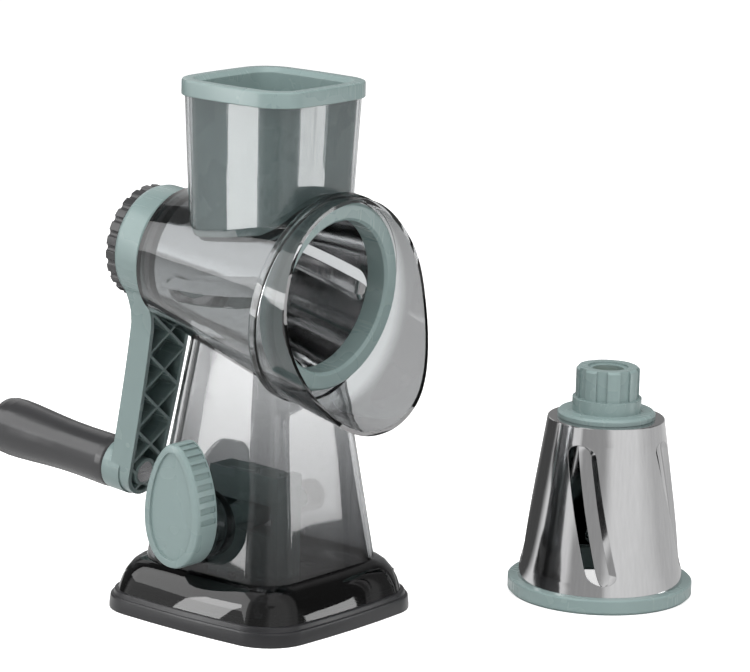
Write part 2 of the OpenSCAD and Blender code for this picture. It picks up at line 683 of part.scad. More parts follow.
module drum_ring_shape() color(sage) rotate_extrude() {
    lip = 1.2;
    polygon([[ring_bore_r + lip, 0], [ring_r - lip, 0], [ring_r, lip], [ring_r, ring_w - lip / 2],
        [ring_r - lip / 2, ring_w], [cone_at(ring_w) - cone_wall - seat_gap, ring_w],
        [cone_at(ring_w + ring_sleeve) - cone_wall - seat_gap, ring_w + ring_sleeve],
        [ring_bore_r, ring_w + ring_sleeve], [ring_bore_r, lip]]);
}

module flute_shape(gap) for (i = [1 : flutes]) rotate(i * 360 / flutes)
    translate([nose_r - flute_depth + gap, -flute_w / 2 + gap])
        square([flute_depth + 2 * overrun, flute_w - 2 * gap]);

insert_low = collar_end - 2;
insert_high = drum_len - 1;
module drum_hub_shape() color(sage) difference() {
    rotate_extrude() polygon([
        [0, cone_end - cone_wall - seat_gap - flange_w], [clamp_r,
            cone_end - cone_wall - seat_gap - flange_w],
        [clamp_r, cone_end - cone_wall - seat_gap], [neck_r, cone_end - cone_wall - seat_gap],
        [neck_r, cone_end + seat_gap], [flange_r, cone_end + seat_gap], [flange_r, flange_end - 1],
        [flange_r - 1, flange_end], [collar_r, flange_end], [collar_r, collar_end], [nose_r, collar_end],
        [nose_r, drum_len - 1], [nose_r - 1, drum_len], [0, drum_len]]);
    translate([0, 0, collar_end + seat_gap]) linear_extrude(drum_len) flute_shape(0);
    translate([0, 0, insert_low]) cylinder(h = drum_len, r = insert_r + seat_gap / 2);
    translate([0, 0, insert_high]) cylinder(h = drum_len, r = insert_r + 2);
}

module hub_insert_shape() color(brass) difference() {
    translate([0, 0, insert_low]) cylinder(h = insert_high - insert_low, r = insert_r);
    translate([0, 0, insert_low - overrun])
        cylinder(h = insert_high - insert_low + 2 * overrun, r = stud_r + run_gap);
}

drum_turn = 174;
module drum_place() on_axis() translate([0, 0, -drum_front]) rotate(drum_turn) children();
module drum_cone() drum_place() drum_cone_shape();
module drum_ring() drum_place() drum_ring_shape();
module drum_hub() drum_place() drum_hub_shape();
module hub_insert() drum_place() hub_insert_shape();

module spare_place() translate([spare_x, spare_y, 0]) rotate(spare_turn) children();
module spare_cone() spare_place() drum_cone_shape();
module spare_ring() spare_place() drum_ring_shape();
module spare_hub() spare_place() drum_hub_shape();
module spare_insert() spare_place() hub_insert_shape();

// Crank: a round head with a keyed socket, and an arm with a ribbed tray on its inner side
arm_from = head_r * 2 / 3;
arm_steps = 10;
arm_mid = head_front + head_w / 2 - overrun / 2;
function arm_share(y) = max(0, (y - head_r) / (crank_r - head_r));
function arm_z(y) = arm_mid + arm_lean * pow(arm_share(y), 1.3);
arm_ys = [for (i = [0 : arm_steps]) arm_from + (crank_r + arm_half_end + overrun - arm_from) * i /
    arm_steps];
module arm_side(front, back) polygon(concat(
    [for (y = arm_ys) [arm_z(y) - front, y]],
    [for (i = [arm_steps : -1 : 0]) [arm_z(arm_ys[i]) + back, arm_ys[i]]]));

flare_share = [0.45, 0.24, 0.08, 0];
function arm_half(y) = arm_half_top + (arm_half_end - arm_half_top) * arm_share(y);
module arm_front(inset) {
    root = [for (i = [0 : 3]) let (y = arm_from + i * head_r / 5) [arm_half(y) * (1 + flare_share[i]) -
        inset, y]];
    polygon(concat([for (p = root) p], [[arm_half_end - inset, crank_r], [inset - arm_half_end, crank_r]],
        [for (i = [3 : -1 : 0]) [-root[i].x, root[i].y]]));
    translate([0, crank_r]) circle(r = arm_half_end - inset);
}

tray_from = head_r + arm_wall;
module tray_ribs() {
    n = ceil((crank_r - tray_from) / rib_pitch);
    intersection() {
        arm_front(0);
        for (i = [0 : n], side = [-1, 1]) translate([0, tray_from + rib_pitch * (i + 1 / 2)])
            rotate(side * atan2(rib_pitch, 2 * arm_half(crank_r / 2) - arm_wall))
                square([4 * arm_half_top, rib_w], center = true);
    }
    translate([0, crank_r]) circle(r = axle_r + 3.4);
}

head_lip = 1.5;
module crank_arm() color(sage) on_axis() difference() {
    union() {
        rotate_extrude() polygon([[0, head_front], [head_r - head_lip, head_front],
            [head_r, head_front + head_lip],
            [head_r, head_back - 2 * head_lip], [head_r - head_lip / 2, head_back - head_lip / 2],
            [head_r - head_lip, head_back], [0, head_back]]);
        intersection() {
            across(4 * head_r) arm_side(arm_w / 2, arm_w / 2);
            linear_extrude(2 * head_back) arm_front(0);
        }
        translate([0, crank_r, arm_z(crank_r)]) cylinder(h = arm_w / 2 + grip_collar_h,
            r = grip_collar_r);
    }
    difference() {
        intersection() {
            across(4 * head_r) arm_side(arm_w, arm_w / 2 - arm_wall);
            linear_extrude(2 * head_back) intersection() {
                arm_front(arm_wall);
                translate([-head_r, tray_from]) square([2 * head_r, crank_r]);
            }
        }
        translate([0, 0, head_front]) linear_extrude(head_back) tray_ribs();
    }
    // socket for the hub's nose, with a key for each flute
    translate([0, 0, head_front - overrun]) linear_extrude(overrun + hub_end + slide_gap - head_front)
        difference() {
            circle(r = nose_r + slide_gap);
            rotate(drum_turn) flute_shape(slide_gap);
        }
    translate([0, 0, head_front]) cylinder(h = head_w + overrun, r = stud_r + slide_gap);
    translate([0, crank_r, head_front]) cylinder(h = 3 * head_w, r = axle_r + seat_gap / 2);
    translate([0, crank_r, arm_z(crank_r) - arm_w / 2 - overrun])
        cylinder(h = overrun + axle_head_w, r = axle_head_r);
}

// Grip: a bulb that turns on a steel axle with a flat head at the tray side
axle_head_r = axle_r + 2;
axle_head_w = 1.8;
axle_low = arm_z(crank_r) - arm_w / 2 + axle_head_w;
grip_low = arm_z(crank_r) + arm_w / 2 + grip_collar_h + slide_gap;
axle_high = grip_low + grip_len * 0.8;
barb_w = 3;

module grip_axle() color(steel) on_axis() translate([0, crank_r, 0]) rotate_extrude() polygon([
    [0, axle_low - axle_head_w + seat_gap], [axle_head_r - seat_gap, axle_low - axle_head_w + seat_gap],
    [axle_head_r - seat_gap, axle_low - seat_gap], [axle_r, axle_low - seat_gap],
        [axle_r, axle_high - 2 * barb_w],
    [axle_r + 1, axle_high - 2 * barb_w], [axle_r, axle_high], [0, axle_high]]);

// Shares of the grip's length and of the step from neck to bulb
grip_share = [[0, -0.25], [0.015, 0], [0.06, 0.1], [0.14, 0.02], [0.28, -0.06], [0.42, 0.02],
    [0.55, 0.28],
    [0.67, 0.62], [0.78, 0.9], [0.86, 1], [0.92, 0.86], [0.96, 0.42], [0.985, -0.5], [0.997, -2],
        [1, -3.4]];
module grip() color(dark_grey) on_axis() translate([0, crank_r, grip_low]) difference() {
    rotate_extrude() polygon(concat([[0, 0]],
        [for (s = grip_share) [grip_neck_r + s[1] * (grip_bulb_r - grip_neck_r), s[0] * grip_len]],
            [[0, grip_len]]));
    translate([0, 0, -overrun]) cylinder(h = axle_high - grip_low + overrun, r = axle_r + run_gap);
    translate([0, 0, axle_high - grip_low - 2 * barb_w - slide_gap])
        cylinder(h = 2 * (barb_w + slide_gap), r = axle_r + 1 + slide_gap);
}

// Lock nut at the back of the crank, and the stud that pulls the drum against the bush
nut_low = head_back + slide_gap;
groove_r = nut_r * sin(360 / nut_grooves / 4);
stud_head_r = stud_r + 2.5;
stud_head_w = 3;

module lock_nut() color(dark_grey) on_axis() difference() {
    translate([0, 0, nut_low]) linear_extrude(nut_w) difference() {
        circle(r = nut_r);
        for (i = [1 : nut_grooves]) rotate(i * 360 / nut_grooves)
            translate([nut_r + groove_r / 3, 0]) circle(r = groove_r, $fn = 16);
    }
    translate([0, 0, nut_low + nut_w]) cylinder(h = 2 * overrun, r1 = 0.7 * nut_r, r2 = 0.8 * nut_r,
        center = true);
    translate([0, 0, nut_low - overrun]) cylinder(h = overrun + stud_head_w,
        r = stud_head_r + seat_gap / 2);
}

module lock_stud() color(steel) on_axis() rotate_extrude() polygon([
    [0, insert_low - drum_front + 3 * overrun], [stud_r - overrun, insert_low - drum_front + 3 * overrun],
    [stud_r, insert_low - drum_front + 4 * overrun], [stud_r, nut_low + seat_gap],
    [stud_head_r, nut_low + seat_gap], [stud_head_r, nut_low + stud_head_w - seat_gap],
    [0, nut_low + stud_head_w - seat_gap]]);

base_ring();
base_screws();
pedestal();
upper_housing();
rear_bush();
suction_pad();
pad_plate();
pad_screws();
lift_tower();
cam_shaft();
suction_knob();
shaft_washer();
shaft_screw();
food_pusher();
drum_cone();
drum_ring();
drum_hub();
hub_insert();
crank_arm();
grip_axle();
grip();
lock_nut();
lock_stud();
spare_cone();
spare_ring();
spare_hub();
spare_insert();
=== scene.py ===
"""Rotary cabbage shredder: the looks of each piece, built around the part's solids."""

import json
import math

import bmesh
import bpy
from bpy.props import FloatProperty, FloatVectorProperty, IntProperty, PointerProperty
from mathutils import Matrix, Vector


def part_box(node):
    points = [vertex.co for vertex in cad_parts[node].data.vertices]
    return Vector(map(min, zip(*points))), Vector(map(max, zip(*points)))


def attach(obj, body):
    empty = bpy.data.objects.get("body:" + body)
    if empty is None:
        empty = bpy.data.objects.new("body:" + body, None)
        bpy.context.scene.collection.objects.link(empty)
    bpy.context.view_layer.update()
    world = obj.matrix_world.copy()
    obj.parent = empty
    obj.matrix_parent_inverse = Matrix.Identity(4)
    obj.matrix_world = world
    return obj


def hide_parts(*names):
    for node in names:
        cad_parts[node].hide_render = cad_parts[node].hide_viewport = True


bl_info = {
    "name": "Rotary Cabbage Shredder",
    "version": (1, 0, 0),
    "blender": (4, 5, 0),
    "location": "View3D > Sidebar > Shredder",
    "description": "Dresses the shredder's moulded, clear, steel and rubber pieces",
    "category": "Object",
}

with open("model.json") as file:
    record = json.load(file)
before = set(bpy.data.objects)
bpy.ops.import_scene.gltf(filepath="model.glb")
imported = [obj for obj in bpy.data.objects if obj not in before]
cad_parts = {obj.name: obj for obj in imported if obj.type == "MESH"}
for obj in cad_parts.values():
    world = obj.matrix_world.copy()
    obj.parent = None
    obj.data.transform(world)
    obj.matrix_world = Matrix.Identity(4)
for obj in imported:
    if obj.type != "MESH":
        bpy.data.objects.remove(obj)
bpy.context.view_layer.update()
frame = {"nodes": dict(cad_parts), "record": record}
NODES = frame["nodes"]
BODY_OF = {node: body for body, nodes in frame["record"]["behaviour"]["bodies"].items() for node in nodes}
SLOT_OF = {row["node"]: row["material_slot"] for row in frame["record"]["subparts"]}
MM = 0.001


# Settings


class ShredderColours(bpy.types.PropertyGroup):
    sage: FloatVectorProperty(
        name="Sage plastic", description="Colour of the crank, knob, pusher and drum mouldings",
        subtype="COLOR", size=3, min=0, max=1, default=(0.262, 0.345, 0.338))
    clear: FloatVectorProperty(
        name="Clear plastic", description="Tint of the barrel and hopper",
        subtype="COLOR", size=3, min=0, max=1, default=(0.46, 0.475, 0.48))
    hood: FloatVectorProperty(
        name="Hood", description="Deeper tint of the hood",
        subtype="COLOR", size=3, min=0, max=1, default=(0.25, 0.253, 0.256))
    smoke: FloatVectorProperty(
        name="Smoky plastic", description="Tint of the pedestal's column under the barrel",
        subtype="COLOR", size=3, min=0, max=1, default=(0.5, 0.505, 0.51))
    foot: FloatVectorProperty(
        name="Smoky foot", description="Tint of the pedestal's column above the skirt",
        subtype="COLOR", size=3, min=0, max=1, default=(0.17, 0.175, 0.18))
    skirt: FloatVectorProperty(
        name="Smoky skirt", description="Tint of the pedestal's skirt",
        subtype="COLOR", size=3, min=0, max=1, default=(0.02, 0.021, 0.022))
    dark: FloatVectorProperty(
        name="Dark plastic", description="Colour of the grip and the lock nut",
        subtype="COLOR", size=3, min=0, max=1, default=(0.05, 0.05, 0.052))
    base: FloatVectorProperty(
        name="Base plastic", description="Colour of the ring under the pedestal",
        subtype="COLOR", size=3, min=0, max=1, default=(0.02, 0.02, 0.022))
    rubber: FloatVectorProperty(
        name="Rubber", description="Colour of the suction pad",
        subtype="COLOR", size=3, min=0, max=1, default=(0.022, 0.022, 0.024))
    steel: FloatVectorProperty(
        name="Polished steel", description="Colour of the slicing cones",
        subtype="COLOR", size=3, min=0, max=1, default=(0.66, 0.66, 0.665))
    hardware: FloatVectorProperty(
        name="Hardware steel", description="Colour of the screws, the stud and the axle",
        subtype="COLOR", size=3, min=0, max=1, default=(0.5, 0.5, 0.51))
    brass: FloatVectorProperty(
        name="Brass", description="Colour of the threaded inserts",
        subtype="COLOR", size=3, min=0, max=1, default=(0.6, 0.43, 0.17))


class ShredderDrum(bpy.types.PropertyGroup):
    slots: IntProperty(
        name="Slots", description="Number of slicing slots round a cone", min=1, max=8, default=4)
    slot_width: FloatProperty(
        name="Slot width", description="Width of a slot with its pressed-in ramp",
        unit="LENGTH", default=14 * MM)
    slot_gap: FloatProperty(
        name="Slot opening", description="Open part of a slot's width", unit="LENGTH", default=4.6 * MM)
    slot_depth: FloatProperty(
        name="Ramp depth", description="Depth of a ramp's face under the cone", unit="LENGTH", default=2.2 * MM)
    slot_twist: FloatProperty(
        name="Slot twist", description="Angle that a slot turns round the cone", subtype="ANGLE",
        default=math.radians(26))
    wall: FloatProperty(name="Steel", description="Thickness of the steel", unit="LENGTH", default=0.8 * MM)
    insert_drop: FloatProperty(
        name="Insert depth", description="How far the threaded insert lies under the hub's recess",
        unit="LENGTH", default=3 * MM)
    thread_pitch: FloatProperty(
        name="Thread pitch", description="Pitch of the insert's thread", unit="LENGTH", default=1.25 * MM)


class ShredderStudio(bpy.types.PropertyGroup):
    azimuth: FloatProperty(
        name="Camera azimuth", description="Direction from which the camera looks, about the vertical",
        subtype="ANGLE", default=math.radians(-51.243))
    elevation: FloatProperty(
        name="Camera elevation", description="Height of the camera above the horizon",
        subtype="ANGLE", default=math.radians(12.244))
    roll: FloatProperty(
        name="Camera roll", description="Turn of the picture about the line of sight",
        subtype="ANGLE", default=math.radians(1.631))
    target: FloatVectorProperty(
        name="Camera target", description="Point at the middle of the picture",
        subtype="XYZ", unit="LENGTH", size=3, default=(0.050302, -0.020798, 0.11749))
    distance: FloatProperty(
        name="Camera distance", description="Distance from the target", unit="LENGTH", default=1.7177)
    lens: FloatProperty(
        name="Lens", description="Focal length on a sensor 36 mm wide",
        subtype="DISTANCE_CAMERA", default=186.44)
    floor_size: FloatProperty(
        name="Floor", description="Width of the studio floor", unit="LENGTH", default=9.0)


# Shader helpers


def new_material(name):
    """A material with its Principled shader, and the shader node."""
    material = bpy.data.materials.new(name)
    material.use_nodes = True
    return material, material.node_tree.nodes["Principled BSDF"]


def add(tree, kind, **settings):
    node = tree.nodes.new("ShaderNode" + kind)
    for key, value in settings.items():
        setattr(node, key, value)
    return node


def feed(tree, source, target):
    """Links an output to an input, or writes a plain value on the input."""
    if isinstance(source, bpy.types.NodeSocket):
        tree.links.new(source, target)
    else:
        target.default_value = source


def give(tree, node, **values):
    """Feeds a node's inputs by their names, with an underscore for each space."""
    for key, value in values.items():
        feed(tree, value, node.inputs[key.replace("_", " ")])
    return node


def rgba(colour, share=1.0, extra=0.0):
    return tuple(min(1.0, c * share + extra) for c in colour) + (1,)


def math_node(tree, operation, a, b):
    node = add(tree, "Math", operation=operation)
    feed(tree, a, node.inputs[0])
    feed(tree, b, node.inputs[1])
    return node.outputs[0]


def spread(tree, value, low, high, to_low=0.0, to_high=1.0):
    """Maps a value from one span to another, held at its ends."""
    node = add(tree, "MapRange", clamp=True)
    for socket, number in zip(node.inputs, (value, low, high, to_low, to_high)):
        feed(tree, number, socket)
    return node.outputs[0]


def mix_colour(tree, factor, a, b):
    node = add(tree, "Mix", data_type="RGBA")
    for socket, source in ((0, factor), (6, a), (7, b)):
        feed(tree, source, node.inputs[socket])
    return node.outputs[2]


def mix_shader(tree, factor, a, b):
    node = add(tree, "MixShader")
    for socket, source in zip(node.inputs, (factor, a, b)):
        feed(tree, source, socket)
    return node.outputs[0]


def object_place(tree):
    return add(tree, "TexCoord").outputs["Object"]


def mapped(tree, place, **values):
    return give(tree, add(tree, "Mapping"), Vector=place, **values).outputs[0]


def noise(tree, place, scale, detail=2):
    return give(tree, add(tree, "TexNoise"), Vector=place, Scale=scale, Detail=detail).outputs[0]


def uneven(tree, tone, roughness, shares, scuff, scuff_share):
    """The roughness times a share that runs with the tone, raised where the surface is scuffed."""
    plain = spread(tree, tone, 0, 1, roughness * shares[0], roughness * shares[1])
    return math_node(tree, "ADD", plain, math_node(tree, "MULTIPLY", scuff, scuff_share))


def add_bump(tree, shader, strength, distance, height, normal=None):
    """Gives a shader a bump, over the softened normal where there is one."""
    bump = give(tree, add(tree, "Bump"), Strength=strength, Distance=distance, Height=height)
    if normal is not None:
        feed(tree, normal, bump.inputs["Normal"])
    feed(tree, bump.outputs[0], shader.inputs["Normal"])


def new_group(name, inputs, outputs):
    """A shader node group. Inputs are (name, socket type, default), outputs are (name, socket type)."""
    tree = bpy.data.node_groups.new(name, "ShaderNodeTree")
    for label, kind, value in inputs:
        socket = tree.interface.new_socket(label, in_out="INPUT", socket_type="NodeSocket" + kind)
        socket.default_value = value
    for label, kind in outputs:
        tree.interface.new_socket(label, in_out="OUTPUT", socket_type="NodeSocket" + kind)
    return tree, tree.nodes.new("NodeGroupInput"), tree.nodes.new("NodeGroupOutput")


def place_group(tree, group, **values):
    return give(tree, add(tree, "Group", node_tree=group), **values)


def edge_group():
    """Rounded edges: a softened normal, and a mask of the edges where handling rubs them."""
    tree, given, result = new_group(
        "edge wear",
        [("Radius", "Float", 0.5 * MM), ("Spots", "Float", 120.0)],
        [("Mask", "Float"), ("Normal", "Vector")])
    bevel = give(tree, add(tree, "Bevel", samples=4), Radius=given.outputs["Radius"])
    dot = add(tree, "VectorMath", operation="DOT_PRODUCT")
    feed(tree, bevel.outputs[0], dot.inputs[0])
    feed(tree, add(tree, "NewGeometry").outputs["Normal"], dot.inputs[1])
    edge = spread(tree, dot.outputs["Value"], 0.99, 0.8)
    spots = noise(tree, object_place(tree), given.outputs["Spots"], 3)
    rubbed = spread(tree, spots, 0.4, 0.65, 0.25, 1.0)
    give(tree, result, Mask=math_node(tree, "MULTIPLY", edge, rubbed), Normal=bevel.outputs[0])
    return tree


def grain_group():
    """Moulded surface: a fine pebble for the bump, a slow mottle for tone, and faint scuffs."""
    tree, given, result = new_group(
        "moulded grain",
        [("Pebble", "Float", 2500.0), ("Mottle", "Float", 30.0), ("Scuffs", "Float", 0.3)],
        [("Height", "Float"), ("Tone", "Float"), ("Scuff", "Float")])
    place = object_place(tree)
    mottle = noise(tree, place, given.outputs["Mottle"])
    scuff = noise(tree, mapped(tree, place, Rotation=(0.5, 0.3, 0.9), Scale=(900, 60, 60)), 1, 4)
    give(tree, result,
         Height=noise(tree, place, given.outputs["Pebble"]),
         Tone=spread(tree, mottle, 0.3, 0.7),
         Scuff=math_node(tree, "MULTIPLY", spread(tree, scuff, 0.58, 0.7), given.outputs["Scuffs"]))
    return tree


# Materials

PLASTIC_IOR = 1.49
# Share of a lamp's light that a clear wall lets through
LAMP_SHARE = 0.6
# Where the clear tints change: up the stand, and along the barrel towards its hood
SKIRT_TOP, FOOT_LEVEL, COLUMN_TOP = 21.5 * MM, 27 * MM, 105 * MM
HOOD_FOOT, BARREL_END = -42 * MM, -36 * MM

GROUPS = {}
MATERIALS = {}


def opaque_plastic(name, colour, roughness, edge_radius, pale=0.12, pebble=2500.0, depth=0.004 * MM):
    """Moulded plastic: slight mottling, fine pebble, rounded and slightly rubbed edges."""
    material, shader = new_material(name)
    tree = material.node_tree
    grain = place_group(tree, GROUPS["grain"], Pebble=pebble, Mottle=35.0, Scuffs=0.35).outputs
    edge = place_group(tree, GROUPS["edge"], Radius=edge_radius, Spots=150.0).outputs
    tone = mix_colour(tree, grain["Tone"], rgba(colour, 0.965), rgba(colour))
    give(tree, shader,
         Base_Color=mix_colour(tree, edge["Mask"], tone, rgba(colour, 1 + pale, 0.02)),
         Roughness=uneven(tree, grain["Tone"], roughness, (0.92, 1.1), grain["Scuff"], 0.1),
         IOR=PLASTIC_IOR)
    add_bump(tree, shader, 0.5, depth, grain["Height"], edge["Normal"])
    return material


def clear_plastic(name, axis, tints, roughness):
    """Clear moulded plastic. Lamps shine through it. Its tint runs along one axis by (place, tint) pairs."""
    material, shader = new_material(name)
    tree = material.node_tree
    grain = place_group(tree, GROUPS["grain"], Pebble=60.0, Mottle=12.0, Scuffs=0.5).outputs
    split = give(tree, add(tree, "SeparateXYZ"), Vector=object_place(tree))
    colour = rgba(tints[0][1])
    for (low, _), (high, tint) in zip(tints, tints[1:]):
        colour = mix_colour(tree, spread(tree, split.outputs[axis], low, high), colour, rgba(tint))
    haze = math_node(tree, "MULTIPLY", grain["Tone"], 0.02)
    give(tree, shader,
         Base_Color=mix_colour(tree, haze, colour, (0.9, 0.92, 0.93, 1)),
         Roughness=uneven(tree, grain["Tone"], roughness, (0.7, 1.3), grain["Scuff"], 0.06),
         Transmission_Weight=1, IOR=PLASTIC_IOR)
    add_bump(tree, shader, 0.1, 0.05 * MM, grain["Height"])
    through = give(tree, add(tree, "BsdfTransparent"), Color=(LAMP_SHARE, LAMP_SHARE, LAMP_SHARE, 1))
    shadow = add(tree, "LightPath").outputs["Is Shadow Ray"]
    surface = mix_shader(tree, shadow, shader.outputs[0], through.outputs[0])
    feed(tree, surface, tree.nodes["Material Output"].inputs["Surface"])
    return material


def metal(name, colour, roughness, lines, line_depth, edge_radius):
    """Metal with fine polishing lines. The lines are counts to the metre along each axis."""
    material, shader = new_material(name)
    tree = material.node_tree
    polish = noise(tree, mapped(tree, object_place(tree), Scale=lines), 1, 3)
    streaks = spread(tree, polish, 0.3, 0.7)
    grain = place_group(tree, GROUPS["grain"], Pebble=900.0, Mottle=25.0, Scuffs=0.4).outputs
    edge = place_group(tree, GROUPS["edge"], Radius=edge_radius, Spots=200.0).outputs
    tone = mix_colour(tree, streaks, rgba(colour, 0.93), rgba(colour))
    give(tree, shader,
         Base_Color=mix_colour(tree, edge["Mask"], tone, rgba(colour, 1.25)),
         Roughness=uneven(tree, streaks, roughness, (0.8, 1.25), grain["Scuff"], 0.08),
         Metallic=1)
    add_bump(tree, shader, 0.4, line_depth, polish, edge["Normal"])
    return material


def build_materials():
    """The node groups, and one material for each finish of the record's slots."""
    colours = bpy.context.scene.shredder_colours
    GROUPS.update({"edge": edge_group(), "grain": grain_group(), "repeat": repeat_tree()})
    MATERIALS.update({
        "black_plastic": opaque_plastic("base plastic", colours.base, 0.3, 0.5 * MM),
        "smoke_plastic": clear_plastic("smoky plastic", "Z", (
            (SKIRT_TOP, colours.skirt), (FOOT_LEVEL, colours.foot), (COLUMN_TOP, colours.smoke)), 0.03),
        "clear_plastic": clear_plastic("clear plastic", "Y", (
            (HOOD_FOOT, colours.hood), (BARREL_END, colours.clear)), 0.02),
        "grey_plastic": opaque_plastic("dark plastic", colours.dark, 0.2, 0.5 * MM, pale=0.5),
        "sage_plastic": opaque_plastic("sage plastic", colours.sage, 0.27, 0.6 * MM, pale=0.04),
        "black_rubber": opaque_plastic("black rubber", colours.rubber, 0.55, 0.4 * MM, pale=0.5,
                                       pebble=1400.0, depth=0.05 * MM),
        "polished_steel": metal("polished steel", colours.steel, 0.1, (700, 700, 12), 0.004 * MM, 0.3 * MM),
        "steel": metal("hardware steel", colours.hardware, 0.24, (60, 900, 900), 0.01 * MM, 0.15 * MM),
        "brass": metal("turned brass", colours.brass, 0.2, (60, 900, 60), 0.01 * MM, 0.15 * MM),
    })


# Pieces

# Faceted mouldings that are shown by smoothly shaded copies
SMOOTHED = {
    "upper_housing": "housing_moulding", "pedestal": "pedestal_moulding", "base_ring": "base_moulding",
    "food_pusher": "pusher_moulding", "crank_arm": "crank_moulding", "suction_knob": "knob_moulding",
}
MADE = ("drum_cone", "spare_cone", "hub_insert", "spare_insert", "base_screws", "pad_screws", "suction_pad")


def placed(name, data):
    """A new object in the scene."""
    item = bpy.data.objects.new(name, data)
    bpy.context.scene.collection.objects.link(item)
    return item


def converted(source):
    """The plain mesh of an object with its modifiers applied. The object is removed."""
    evaluated = source.evaluated_get(bpy.context.evaluated_depsgraph_get())
    finished = bpy.data.meshes.new_from_object(evaluated)
    bpy.data.objects.remove(source)
    return finished


def shade_smooth(mesh, sharp_angle, merge=None):
    """Smooth faces with sharp edges where they turn by more than an angle in degrees."""
    work = bmesh.new()
    work.from_mesh(mesh)
    if merge is not None:
        bmesh.ops.remove_doubles(work, verts=work.verts, dist=merge)
    for face in work.faces:
        face.smooth = True
    for edge in work.edges:
        edge.smooth = len(edge.link_faces) == 2 and edge.calc_face_angle(0) < math.radians(sharp_angle)
    work.to_mesh(mesh)
    work.free()


def dress(node, material):
    """Gives a carried-over node its material."""
    mesh = NODES[node].data
    mesh.materials.clear()
    mesh.materials.append(material)


def finish_piece(name, mesh, node):
    """Makes a mesh the piece that stands for a node, on that node's body."""
    mesh.name = name
    if not mesh.materials:
        mesh.materials.append(MATERIALS[SLOT_OF[node]])
    piece = placed(name, mesh)
    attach(piece, BODY_OF[node])
    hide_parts(node)


def ringed_mesh(name, rings, segments):
    """A closed skin through rings about the upright. A ring is (radius, height), with one radius or a list
    of one for each segment, and a radius of zero closes the skin in a pole."""
    mesh = bpy.data.meshes.new(name)
    work = bmesh.new()
    turns = [math.tau * k / segments for k in range(segments)]
    loops = []
    for radius, height in rings:
        if radius == 0:
            loops.append([work.verts.new((0, 0, height))])
            continue
        radii = radius if isinstance(radius, list) else [radius] * segments
        loops.append([work.verts.new((r * math.cos(a), r * math.sin(a), height)) for r, a in zip(radii, turns)])
    pairs = list(zip(loops, loops[1:]))
    if len(loops[0]) > 1:
        pairs.append((loops[-1], loops[0]))
    for low, high in pairs:
        for k in range(segments):
            corners = (low[k % len(low)], low[(k + 1) % len(low)],
                       high[(k + 1) % len(high)], high[k % len(high)])
            work.faces.new(list(dict.fromkeys(corners)))
    bmesh.ops.recalc_face_normals(work, faces=work.faces)
    work.to_mesh(mesh)
    work.free()
    return mesh


def repeat_tree():
    """A node tree that turns copies of a piece about the upright, joins and merges them, and paints them."""
    tree = bpy.data.node_groups.new("repeat about the upright", "GeometryNodeTree")
    inputs = (("Geometry", "Geometry"), ("Count", "Int"), ("Merge", "Float"), ("Material", "Material"))
    for label, kind in inputs:
        tree.interface.new_socket(label, in_out="INPUT", socket_type="NodeSocket" + kind)
    tree.interface.new_socket("Geometry", in_out="OUTPUT", socket_type="NodeSocketGeometry")
    new = tree.nodes.new
    given, result = new("NodeGroupInput").outputs, new("NodeGroupOutput")
    line = give(tree, new("GeometryNodeMeshLine"), Count=given["Count"], Offset=(0, 0, 0))
    step = math_node(tree, "DIVIDE", math.tau, given["Count"])
    turn = math_node(tree, "MULTIPLY", new("GeometryNodeInputIndex").outputs[0], step)
    angle = give(tree, new("ShaderNodeCombineXYZ"), Z=turn)
    spin = give(tree, new("FunctionNodeEulerToRotation"), Euler=angle.outputs[0])
    place = give(tree, new("GeometryNodeInstanceOnPoints"), Points=line.outputs[0], Instance=given["Geometry"],
                 Rotation=spin.outputs[0])
    real = give(tree, new("GeometryNodeRealizeInstances"), Geometry=place.outputs[0])
    merge = give(tree, new("GeometryNodeMergeByDistance"), Geometry=real.outputs[0], Distance=given["Merge"])
    paint = give(tree, new("GeometryNodeSetMaterial"), Geometry=merge.outputs[0], Material=given["Material"])
    feed(tree, paint.outputs[0], result.inputs[0])
    return tree


def repeated(mesh, count, merge, material):
    """A plain mesh of copies of a mesh turned about the upright."""
    source = placed(mesh.name + "_source", mesh)
    modifier = source.modifiers.new("repeat", "NODES")
    modifier.node_group = GROUPS["repeat"]
    sockets = {item.name: item.identifier for item in GROUPS["repeat"].interface.items_tree
               if item.in_out == "INPUT"}
    for name, value in (("Count", count), ("Merge", merge), ("Material", material)):
        modifier[sockets[name]] = value
    source.update_tag()
    return converted(source)


# Drum, drawn standing on its mouth: the cone's heights and radii, the hub's hole, and the slots' span
RING_TOP, CONE_END, CONE_FRONT, CONE_BACK, HUB_HOLE = 7 * MM, 81 * MM, 37.2 * MM, 26.2 * MM, 14.05 * MM
SLOT_FROM, SLOT_TO, SLOT_ENDS = 12 * MM, 73 * MM, 5 * MM
# Rows of a slot: shares of its round ends, and the steps from one end to the other
END_ROWS, MIDDLE_STEPS = (0, 0.03, 0.1, 0.2, 0.35, 0.55, 0.78, 1), 14
# Strips of plain cone on each side of a slot, strips of its ramp, and width of the ramp's foot in depths
SIDE_STRIPS, RAMP_STRIPS, RAMP_FOOT = 9, 4, 1.4
# Where the drum lies in the barrel, and where the second one stands
AXIS_HEIGHT, AXIS_DIP, DRUM_FRONT, DRUM_TURN = 148.3 * MM, math.radians(4.8), 39.6 * MM, math.radians(174)
SPARE_PLACE, SPARE_TURN = (126 * MM, -94 * MM, 0), math.radians(205)


def drum_places():
    """Where the drawn drum stands: in the barrel, and beside the stand."""
    axis = Matrix.Translation((0, 0, AXIS_HEIGHT)) @ Matrix.Rotation(AXIS_DIP - math.pi / 2, 4, "X")
    in_barrel = axis @ Matrix.Translation((0, 0, -DRUM_FRONT)) @ Matrix.Rotation(DRUM_TURN, 4, "Z")
    beside = Matrix.Translation(SPARE_PLACE) @ Matrix.Rotation(SPARE_TURN, 4, "Z")
    return in_barrel, beside


